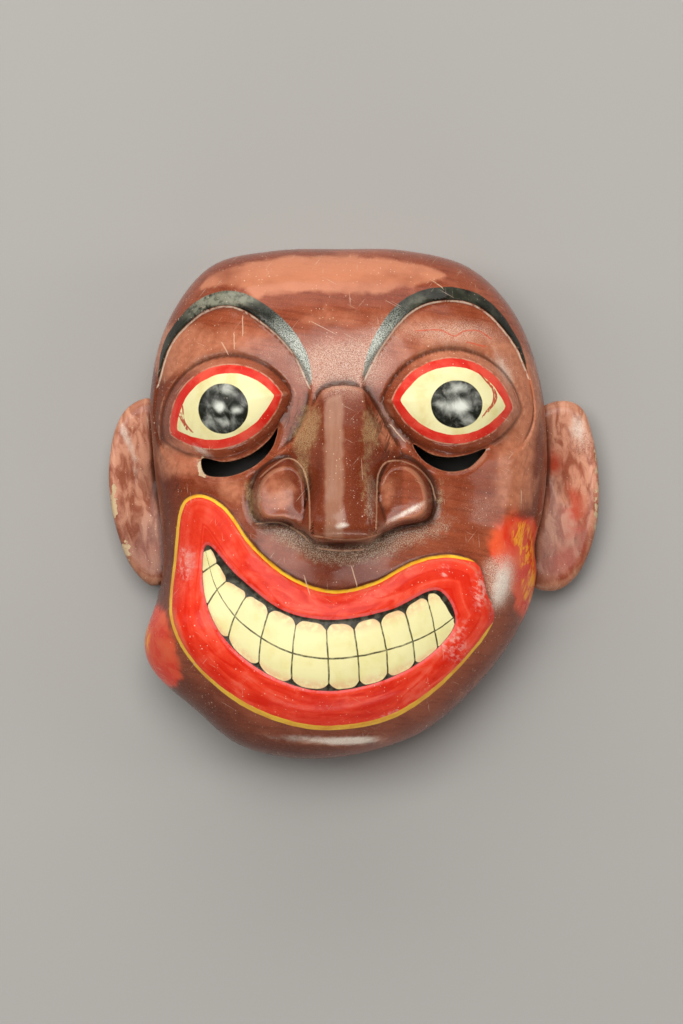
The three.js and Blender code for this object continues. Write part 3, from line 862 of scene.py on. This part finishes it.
class Brush:
    """Adds nodes to a material or a node group, and gives back the socket that each result leaves by."""

    def __init__(self, tree):
        self.tree = tree

    def node(self, kind, values=(), **settings):
        made = self.tree.nodes.new(kind)
        for name, value in settings.items():
            setattr(made, name, value)
        for key, value in dict(values).items():
            if isinstance(value, bpy.types.NodeSocket):
                self.tree.links.new(value, made.inputs[key])
            else:
                made.inputs[key].default_value = value
        return made

    def field(self, name):
        return self.node("ShaderNodeAttribute", attribute_name=name).outputs["Fac"]

    def sum(self, operation, a, b=0.0, c=0.0):
        return self.node("ShaderNodeMath", {0: a, 1: b, 2: c}, operation=operation).outputs[0]

    def times(self, first, *others):
        for value in others:
            first = self.sum("MULTIPLY", first, value)
        return first

    def most(self, first, *others):
        for value in others:
            first = self.sum("MAXIMUM", first, value)
        return first

    def plus(self, a, b):
        return self.sum("ADD", a, b)

    def scaled(self, value, by, start):
        return self.sum("MULTIPLY_ADD", value, by, start)

    def shift(self, value, by, amount):
        """A value moved by an amount of another one, such as a wobble."""
        return self.scaled(by, amount, value)

    def off(self, value, line=0):
        """How far a value is from a line's own value."""
        return self.sum("ABSOLUTE", self.plus(value, -line))

    def step(self, value, start, end):
        values = {"Value": value, "From Min": start, "From Max": end}
        return self.node("ShaderNodeMapRange", values, interpolation_type="SMOOTHSTEP").outputs[0]

    def blot(self, name, by, amount, start, end):
        """A stored attribute as a mask, its edge moved by an amount of a noise."""
        return self.step(self.shift(self.field(name), by, amount), start, end)

    def mix(self, share, a, b):
        a, b = (colour(paint) if isinstance(paint, tuple) else paint for paint in (a, b))
        return self.node("ShaderNodeMix", {0: share, 6: a, 7: b}, data_type="RGBA").outputs[2]

    def over(self, base, cover, share, paint):
        """A share of a paint brushed over a base where the cover lets it."""
        return self.mix(self.times(cover, share), base, paint)

    def place(self):
        """Where a point is on the mask, in mm."""
        where = self.node("ShaderNodeTexCoord").outputs["Object"]
        return self.node("ShaderNodeVectorMath", {0: where, "Scale": 1 / MM}, operation="SCALE").outputs[0]

    def stretch(self, where, size, turn=(0, 0, 0)):
        """Coordinates for a pattern whose marks have this size in mm along x, y and z."""
        turned = self.node("ShaderNodeMapping", {"Vector": where, "Rotation": turn}).outputs[0]
        scale = tuple(1 / side for side in size)
        return self.node("ShaderNodeVectorMath", {0: turned, 1: scale}, operation="MULTIPLY").outputs[0]

    def cloud(self, where, size, turn=(0, 0, 0), detail=3, distortion=0):
        """Noise whose marks have this size in mm, the same all ways or along x, y and z."""
        size = size if isinstance(size, tuple) else (size, size, size)
        values = {"Vector": self.stretch(where, size, turn), "Scale": 1, "Detail": detail, "Roughness": 0.55}
        return self.node("ShaderNodeTexNoise", {**values, "Distortion": distortion}).outputs[0]

    def placed(self, group, **values):
        return self.node("ShaderNodeGroup", values, node_tree=group).outputs


def new_group(name, inputs, outputs):
    group = bpy.data.node_groups.new(name, "ShaderNodeTree")
    for way, sockets in (("INPUT", inputs), ("OUTPUT", outputs)):
        for title, kind in sockets.items():
            group.interface.new_socket(title, in_out=way, socket_type="NodeSocket" + kind)
    b = Brush(group)
    return group, b, b.node("NodeGroupInput").outputs, b.node("NodeGroupOutput").inputs


def make_scratches():
    """Fine straight scratches in three directions, broken up into short runs."""
    group, b, given, out = new_group("scratches", {"Place": "Vector", "Amount": "Float"}, {"Mask": "Float"})
    runs = [
        b.step(b.cloud(given["Place"], size, (0, 0, turn), detail=1), 0.71, 0.77)
        for turn, size in ((0.5, (16, 0.5, 16)), (-0.9, (22, 0.42, 22)), (1.5, (12, 0.5, 12)))
    ]
    broken = b.step(b.cloud(given["Place"], 9), 0.5, 0.66)
    group.links.new(b.times(b.most(*runs), broken, given["Amount"]), out["Mask"])
    return group


def make_specks():
    """Small pale nicks and grains, some a hair's breadth and some a millimetre across."""
    group, b, given, out = new_group("specks", {"Place": "Vector", "Amount": "Float"}, {"Mask": "Float"})
    kinds = []
    for size, radius, share in ((3.2, 0.11, 0.6), (1.3, 0.18, 0.66)):
        where = b.stretch(given["Place"], (size, size, size))
        cells = b.node("ShaderNodeTexVoronoi", {"Vector": where, "Scale": 1}).outputs
        chosen = b.node("ShaderNodeSeparateColor", {0: cells["Color"]}).outputs[0]
        dot = b.step(cells["Distance"], radius, radius * 0.55)
        kinds.append(b.times(dot, b.step(chosen, share, share + 0.02)))
    thick = b.step(b.cloud(given["Place"], 22), 0.38, 0.62)
    group.links.new(b.times(b.most(*kinds), thick, given["Amount"]), out["Mask"])
    return group


def make_wood():
    """Pale light wood gone brown with age: long streaks of grain from brow to chin, and their height."""
    outputs = {"Color": "Color", "Height": "Float"}
    group, b, given, out = new_group("bare_grain", {"Place": "Vector"}, outputs)
    streaks = b.cloud(given["Place"], (1.1, 26, 1.1), detail=4, distortion=0.3)
    broad = b.cloud(given["Place"], (14, 40, 14))
    wood = b.mix(b.step(streaks, 0.3, 0.7), (182, 146, 100), (128, 90, 54))
    wood = b.over(wood, b.step(broad, 0.4, 0.7), 0.6, (112, 80, 52))
    group.links.new(wood, out["Color"])
    group.links.new(streaks, out["Height"])
    return group


scratches = make_scratches()
specks = make_specks()
bare_grain = make_wood()


def new_material(name):
    material = bpy.data.materials.new(name)
    material.use_nodes = True
    return material, Brush(material.node_tree), material.node_tree.nodes["Principled BSDF"]


def finish_material(b, shader, sockets, height, distance):
    bump = b.node("ShaderNodeBump", {"Height": height, "Distance": distance * MM, "Strength": 1})
    for name, value in {**sockets, "Normal": bump.outputs[0]}.items():
        if isinstance(value, bpy.types.NodeSocket):
            b.tree.links.new(value, shader.inputs[name])
        else:
            shader.inputs[name].default_value = value


# Where a painted highlight and a line of painted shade run round the eyes, in mm from the red rim's outer
# edge.
FOLD_HIGHLIGHT = 5.1
CREASE_SHADE = 3.8


def make_paint():
    material, b, shader = new_material("lacquered_paint")
    place = b.place()
    broad = b.cloud(place, 30)
    patch = b.cloud(place, 9, (0.3, 0.2, 0), distortion=0.3)
    fine = b.cloud(place, 2.4)
    grain = b.cloud(place, 0.6, detail=2)
    powder = b.cloud(place, 0.34, detail=1)
    brushed = b.cloud(place, (14, 1.1, 14), (0, 0, 0.15))
    wobble = b.plus(b.cloud(place, 5, detail=2), -0.5)
    ragged, blotchy = b.plus(fine, -0.5), b.plus(patch, -0.5)

    # The skin: red-brown brush strokes, pinker ears darker below, a darker nose, painted shade round the
    # edge.
    base = b.mix(b.step(broad, 0.35, 0.65), (132, 59, 34), (157, 80, 52))
    base = b.over(base, b.step(brushed, 0.42, 0.75), 0.5, (98, 39, 20))
    base = b.over(base, b.step(patch, 0.5, 0.75), 0.45, (178, 102, 74))
    base = b.over(base, b.step(grain, 0.5, 0.8), 0.3, (170, 104, 76))
    down_ear = b.cloud(place, (3.4, 9, 8), (0, 0, -0.12), detail=5, distortion=0.7)
    ear_skin = b.mix(b.step(down_ear, 0.36, 0.62), (160, 94, 72), (222, 162, 134))
    base = b.over(base, b.field("ears"), 0.85, ear_skin)
    base = b.over(base, b.field("rose"), b.step(patch, 0.3, 0.6), (204, 84, 58))
    # Painted shade round the edge of the face; the ears darker towards the bottom.
    base = b.over(base, b.field("flank"), 0.7, (66, 26, 13))
    # Painted shade in spots round the nose and the eyes.
    painted_shade = b.blot("painted_shade", blotchy, 0.6, 0.1, 0.9)
    base = b.over(base, painted_shade, 0.6, (96, 34, 17))
    on_nose = b.step(b.field("nose"), 0.5, 2.5)
    base = b.over(base, on_nose, 0.6, (100, 40, 19))
    base = b.over(base, b.step(powder, 0.6, 0.74), 0.3, (206, 146, 116))
    base = b.over(base, b.step(powder, 0.4, 0.28), 0.25, (84, 34, 18))

    # The cheeks: patches of red, with strokes of orange on top.
    blush = b.blot("blush", blotchy, 0.9, 0.2, 0.66)
    fire = b.mix(b.step(patch, 0.35, 0.7), (230, 58, 30), (240, 98, 58))
    base = b.over(base, blush, 0.92, fire)
    strokes = b.step(b.cloud(place, (1.3, 7, 4), (0, 0, 0.35), distortion=0.9), 0.47, 0.57)
    base = b.over(base, b.step(b.field("ember"), 0.25, 0.6), strokes, (255, 166, 36))

    # Painted light: sheen in spots and a forehead band, a highlight on the nose's crest, shaded wing rims,
    # and frosting.
    # Painted sheen in spots, and the forehead's painted highlight.
    sheen_mask = b.blot("painted_sheen", blotchy, 0.8, 0.28, 0.8)
    sheen_mask = b.times(sheen_mask, b.scaled(b.step(fine, 0.3, 0.7), 0.4, 0.6))
    # The forehead's band of painted highlight.
    band = b.blot("band", blotchy, 5, -0.9, 1.4)
    sheen_mask = b.most(sheen_mask, b.times(band, b.step(broad, 0.15, 0.5)))
    base = b.over(base, sheen_mask, 0.68, (214, 142, 108))
    # A painted highlight down the left half of the nose's crest.
    down_nose = b.scaled(b.cloud(place, (1.6, 11, 9)), -0.7, 1.15)
    ridge = b.times(b.blot("ridge", wobble, 2.4, -0.9, 1.1), b.step(b.field("nose"), 3.5, 5), down_nose)
    base = b.over(base, ridge, 0.8, (172, 128, 104))
    # Painted shade on the outer rims of the wings.
    rim = b.times(b.field("wing_rim_shade"), b.scaled(patch, 0.5, 0.5))
    base = b.over(base, rim, 0.75, (84, 32, 17))
    # Powdery frost, partly a painted highlight.
    frost_and_glare_spots = b.blot("frost_and_glare", wobble, 0.3, 0.1, 0.9)
    frost_and_glare = b.times(frost_and_glare_spots, b.step(powder, 0.36, 0.66))
    base = b.over(base, frost_and_glare_spots, 0.35, (192, 126, 98))
    base = b.over(base, frost_and_glare, 0.72, (224, 198, 180))

    # The brows: black with a painted sheen, grey and powdery towards the nose, a painted highlight on the
    # lower edge.
    black = b.mix(b.step(patch, 0.4, 0.7), (27, 28, 21), (58, 60, 49))
    # A painted grey sheen on the brows.
    black = b.over(black, b.step(b.field("sheen"), 0.15, 0.8), b.step(fine, 0.25, 0.6), (134, 135, 118))
    near_nose = b.blot("brow_place", wobble, 0.12, 0.4, 0.14)
    black = b.over(black, near_nose, 0.35, (120, 128, 118))
    black = b.over(black, near_nose, b.step(powder, 0.36, 0.62), (196, 202, 192))
    base = b.mix(b.blot("brow", wobble, 0.6, 0, 0.4), base, black)
    # A painted highlight along the brow's lower edge, where the step catches the light.
    side = b.shift(b.field("brow_side"), wobble, 0.4)
    brow_edge_highlight = b.times(b.step(side, -0.75, -0.4), b.step(side, 0.2, -0.1), b.step(fine, 0.3, 0.5))
    base = b.over(base, b.times(brow_edge_highlight, b.step(b.field("brow"), -1, -0.4)), 0.9, (228, 206, 184))

    # The eyes: red rim, pale line round it, painted fold highlight, cream whites, black milky pupils with
    # painted glints.
    edge = b.shift(b.field("almond"), wobble, 0.5)
    rim_line = b.times(b.step(edge, 0.8, 0.5), b.step(fine, 0.32, 0.55))
    base = b.over(base, rim_line, 0.8, (206, 146, 120))
    red_rim = b.mix(b.step(patch, 0.35, 0.7), (210, 44, 34), (228, 84, 66))
    base = b.mix(b.step(edge, 0.25, 0), base, red_rim)
    # A painted highlight along the fold round the lid.
    fold_highlight = b.times(b.step(b.off(edge, FOLD_HIGHLIGHT), 0.5, 0.15), b.step(fine, 0.42, 0.6))
    base = b.over(base, fold_highlight, 0.35, (210, 158, 128))
    white = b.mix(b.step(patch, 0.4, 0.75), (236, 230, 178), (224, 212, 150))
    base = b.mix(b.blot("white", wobble, 0.7, 0.2, -0.05), base, white)
    ball = b.shift(b.field("pupil"), wobble, 0.4)
    # Painted glints and milky clouding in the pupils.
    clouded = b.plus(b.cloud(place, (6, 4.5, 6), (0, 0.4, 0.9), distortion=0.4), -0.5)
    dark = b.mix(b.blot("clouding_and_glint", clouded, 1.9, -0.1, 1.3), (30, 31, 26), (222, 226, 216))
    base = b.mix(b.step(ball, 0.15, -0.15), base, dark)

    # The lips: red brushed along the mouth, scuffed, with painted highlights, a pink inner one, and a golden
    # outer line.
    lip = b.shift(b.field("lip"), wobble, 0.5)
    run = b.node("ShaderNodeCombineXYZ", {0: b.field("along_mouth"), 1: b.field("lip")}).outputs[0]
    painted = b.cloud(run, (16, 4.2, 1), distortion=1.2)
    red = b.mix(b.step(b.shift(painted, blotchy, 0.5), 0.3, 0.62), (216, 42, 24), (236, 68, 44))
    red = b.over(red, b.step(b.shift(painted, blotchy, 0.9), 0.5, 0.8), 0.6, (242, 110, 88))
    scuffs = b.step(b.cloud(place, (3.4, 1.5, 2), (0, 0, 0.6), detail=4), 0.42, 0.66)
    # Scuffs and painted highlights on the lips.
    red = b.over(red, b.times(b.blot("lip_wear_and_gloss", ragged, 0.5, 0.3, 0.9), scuffs), 0.8, (244, 172, 160))
    # A pink painted highlight along the lips' inner edge.
    inner_edge_highlight = b.times(b.blot("mouth", wobble, 0.5, -1.2, -0.7), b.step(fine, 0.3, 0.55))
    red = b.over(red, inner_edge_highlight, 0.85, (228, 96, 94))
    base = b.mix(b.step(lip, 0, 0.25), base, red)
    past_gilt = b.step(b.sum("SUBTRACT", lip, b.field("gilt_width")), 0.12, -0.08)
    gold = b.mix(b.step(patch, 0.4, 0.7), (255, 202, 60), (240, 168, 42))
    base = b.mix(b.times(b.step(lip, -0.1, 0.2), past_gilt), base, gold)

    # The teeth: cream on a dark ground, rounded at their tips, with thin dark lines between them.
    ground = b.mix(b.step(fine, 0.4, 0.7), (38, 36, 30), (80, 78, 66))
    base = b.mix(b.blot("mouth", wobble, 0.4, 0, 0.25), base, ground)
    tooth = b.field("tooth")
    offset = b.sum("SUBTRACT", tooth, b.sum("ROUND", tooth))
    gap = b.off(b.shift(b.times(offset, b.field("tooth_width")), wobble, 0.5))
    corner = b.sum("POWER", b.sum("SUBTRACT", 1, b.times(b.off(offset), 2)), 4)
    height = b.off(b.shift(b.field("bite"), wobble, 0.045))
    scallop = b.sum("SUBTRACT", b.scaled(corner, -0.26, 1.13), height)
    enamel = b.mix(b.step(patch, 0.4, 0.8), (237, 231, 174), (228, 218, 152))
    root = b.times(b.step(height, 0.66, 1.08), b.step(fine, 0.25, 0.6))
    enamel = b.over(enamel, root, 0.6, (230, 168, 128))
    lines = b.most(b.step(gap, 0.42, 0.2), b.step(height, 0.04, 0.02))
    enamel = b.over(enamel, lines, b.scaled(b.step(fine, 0.3, 0.6), 0.3, 0.65), (58, 56, 38))
    last = len(TOOTH_GAPS) - 1
    ends = b.times(b.step(tooth, 0.03, 0.06), b.step(tooth, last - 0.03, last - 0.06))
    teeth = b.times(b.step(scallop, 0, 0.03), b.step(b.field("mouth"), 0.1, 0.4), ends)
    base = b.mix(teeth, base, enamel)

    # The age: painted highlights, nicks, scratches, worn edges, painted shade and dirt in hollows, dust, ash
    # and chips.
    # Painted highlights in spots.
    painted_highlight = b.times(b.blot("painted_highlight", ragged, 0.7, 0.16, 1.3), b.scaled(powder, 1.5, 0.2))
    base = b.over(base, painted_highlight, 0.88, (240, 228, 214))
    painted_face = b.times(b.step(b.field("mouth"), 0.6, -0.4), b.step(b.field("almond"), -3.4, -1))
    wrinkles = b.step(b.cloud(place, (0.9, 9, 9), (0, 0, 0.35), detail=2), 0.52, 0.6)
    wrinkles = b.times(wrinkles, b.step(b.field("wrinkle"), 0.2, 0.8))
    nicks = b.placed(specks, Place=place, Amount=1)[0]
    marks = b.most(nicks, b.placed(scratches, Place=place, Amount=0.6)[0])
    base = b.over(base, marks, b.scaled(painted_face, 0.6, 0.25), (230, 202, 176))
    off_brow = b.step(b.off(b.field("brow_side")), 1.4, 3.2)
    worn = b.times(b.blot("groove", ragged, 0.12, -0.22, -0.4), painted_face, off_brow)
    base = b.over(base, b.times(worn, b.scaled(on_nose, -0.7, 1)), 0.3, (200, 146, 114))
    # Painted shade in the broad hollows.
    hollow_shade = b.times(b.blot("shade", ragged, 0.4, 0.1, 1.5), b.scaled(painted_face, 0.8, 0.15))
    base = b.over(base, b.times(hollow_shade, b.scaled(off_brow, 0.7, 0.3)), 0.6, (62, 30, 16))
    # Dirt and painted shade in the narrow grooves, the wrinkles and the lids' creases.
    dirt_and_shade = b.times(b.blot("groove", ragged, 0.25, 0.08, 0.4), b.scaled(painted_face, 0.45, 0.15))
    off_lid = b.step(b.off(b.field("almond"), 3.6), 0.6, 2.2)
    dirt_and_shade = b.times(dirt_and_shade, b.scaled(off_brow, 0.8, 0.2), b.scaled(off_lid, 0.85, 0.15))
    dirt_and_shade = b.times(dirt_and_shade, b.scaled(b.field("ears"), -0.7, 1))
    # A thin line of painted shade in the crease round the lid.
    crease = b.step(b.off(edge, CREASE_SHADE), 0.9, 0.1)
    dirt_and_shade = b.most(dirt_and_shade, b.times(wrinkles, 0.6), b.times(crease, 0.4))
    base = b.mix(dirt_and_shade, base, (50, 27, 16))
    dust_spots = b.blot("dust", ragged, 1, 0.3, 0.85)
    ash_spots = b.blot("ash", ragged, 1, 0.2, 1)
    base = b.over(base, ash_spots, 0.25, (146, 112, 90))
    base = b.over(base, b.times(ash_spots, b.step(powder, 0.44, 0.62)), 0.7, (200, 184, 162))
    dust = b.times(dust_spots, b.step(powder, 0.28, 0.6))
    base = b.over(base, dust, 0.7, (184, 154, 112))
    for name, width, strength, paint in (
        ("corner_line", 0.42, 0.9, (176, 36, 24)),
        ("red_line", 0.45, 0.6, (206, 76, 48)),
        ("scrape", 0.32, 0.6, (224, 188, 158)),
        # Pale edge lines, partly wear and partly a painted highlight.
        ("edge_wear_and_highlight", 0.45, 0.5, (214, 170, 138)),
    ):
        gap = b.off(b.shift(b.field(name), wobble, 0.5))
        line = b.times(b.step(gap, width, width / 3), b.step(b.field(name + "_near"), 1.2, 0.8))
        base = b.over(base, b.times(line, b.step(fine, 0.25, 0.42)), strength, paint)
    chipped = b.blot("chips", ragged, 2.2, 0.6, 0.7)
    wood = b.placed(bare_grain, Place=place)["Color"]
    base = b.mix(chipped, base, b.mix(0.5, wood, (236, 214, 176)))

    # The gloss and the fine relief: duller where dusty, dirty, shaded in paint or chipped, and least on eyes
    # and lips.
    rough = b.shift(b.scaled(patch, 0.16, 0.2), frost_and_glare, 0.25)
    rough = b.shift(b.shift(rough, b.most(dust, dirt_and_shade), 0.35), chipped, 0.4)
    relief = b.shift(b.times(b.plus(fine, b.times(brushed, 0.6)), 0.5), grain, 0.1)
    for cut, depth in ((b.times(frost_and_glare, grain), 0.35), (marks, -0.3), (wrinkles, -0.9), (chipped, -0.9)):
        relief = b.shift(relief, cut, depth)
    off_eye = b.most(b.step(b.field("almond"), 0, 0.5), b.step(ball, 0.2, -0.2))
    lacquer = b.times(b.step(b.field("lip"), 0.3, -0.3), off_eye, b.scaled(b.field("ears"), -0.6, 1))
    dull = b.most(ash_spots, dust_spots, b.times(b.most(b.field("flank"), painted_shade), 0.7))
    coat = b.times(b.scaled(lacquer, 0.24, 0.05), b.scaled(dull, -0.8, 1))
    sockets = {"Base Color": base, "Roughness": rough, "Coat Weight": coat}
    finish_material(b, shader, {**sockets, "Coat Roughness": 0.13, "Specular IOR Level": 0.1}, relief, 0.14)
    return material


def make_bare_wood():
    material, b, shader = new_material("bare_wood")
    wood = b.placed(bare_grain, Place=b.place())
    gouges = b.cloud(b.place(), (5, 16, 5), (0, 0, 0.2), detail=2)
    base = b.over(wood["Color"], b.step(gouges, 0.5, 0.75), 0.5, (96, 66, 42))
    height = b.shift(b.times(gouges, 3), wood["Height"], 0.4)
    finish_material(b, shader, {"Base Color": base, "Roughness": 0.75}, height, 0.3)
    return material


mask.data.materials.clear()
for material in (make_paint(), make_bare_wood()):
    mask.data.materials.append(material)


def show_wood(piece):
    """The hollow, the slots' walls and the flat rim are bare wood; all the rest is painted."""
    polygons = piece.data.polygons
    centres = np.empty(len(polygons) * 3, np.float32)
    polygons.foreach_get("center", centres)
    normals = np.empty(len(polygons) * 3, np.float32)
    polygons.foreach_get("normal", normals)
    x, y, z = centres.reshape(-1, 3).T.astype(float) / MM
    up = normals.reshape(-1, 3)[:, 2]
    within = place_on_face(x, y, SIDE_WALL)[1] < 1.02
    under = z < hollow_top(x, y) + 3
    in_slot = np.maximum(*(inside_by(x, y, eye["slot"]) for eye in EYES)) > -0.6
    steep = (np.abs(up) < 0.35) & (z < skin(x, y) - 3.5)
    bare = (within & under) | (in_slot & steep) | (z < RIM_EDGE * 0.6)
    polygons.foreach_set("material_index", bare.astype(np.int32))


show_wood(mask)

# The floor: a plain pale studio sheet that the mask lies on.
floor_mesh = bmesh.new()
bmesh.ops.create_grid(floor_mesh, x_segments=1, y_segments=1, size=4)
floor_data = bpy.data.meshes.new("floor")
floor_mesh.to_mesh(floor_data)
floor_mesh.free()
floor = bpy.data.objects.new("floor", floor_data)
bpy.context.scene.collection.objects.link(floor)
paper, _, sheet = new_material("pale_floor")
sheet.inputs["Base Color"].default_value = (0.36, 0.355, 0.345, 1)
sheet.inputs["Roughness"].default_value = 0.7
floor_data.materials.append(paper)

# The light: a wide soft light over the top of the head, weaker ones at the left, at the right and below the
# chin, and a dim room.
LIGHTS = [
    ("key", (-0.25, 0.55, 2.0), (1.6, 1.1), 41),
    ("top", (-0.1, 1.4, 0.72), (2.2, 0.8), 15),
    ("left", (-1.3, 0.3, 0.9), (0.3, 1.0), 2.5),
    ("right", (1.3, 0.1, 0.8), (0.3, 0.8), 3),
    ("low", (0.1, -1.15, 0.4), (1.1, 0.1), 4.5),
]
for name, spot, size, power in LIGHTS:
    lamp = bpy.data.lights.new(name, "AREA")
    lamp.shape = "RECTANGLE"
    lamp.size, lamp.size_y = size
    lamp.energy = power
    lamp.color = (1, 0.965, 0.92)
    light = bpy.data.objects.new(name, lamp)
    light.location = spot
    light.rotation_euler = (Vector((0, 0, 0.05)) - Vector(spot)).to_track_quat("-Z", "Y").to_euler()
    bpy.context.scene.collection.objects.link(light)
room = bpy.data.worlds.new("room")
room.use_nodes = True
backdrop = room.node_tree.nodes["Background"].inputs
backdrop["Color"].default_value = (0.95, 0.97, 1, 1)
backdrop["Strength"].default_value = 0.04
bpy.context.scene.world = room
bpy.context.scene.view_settings.view_transform = "Standard"
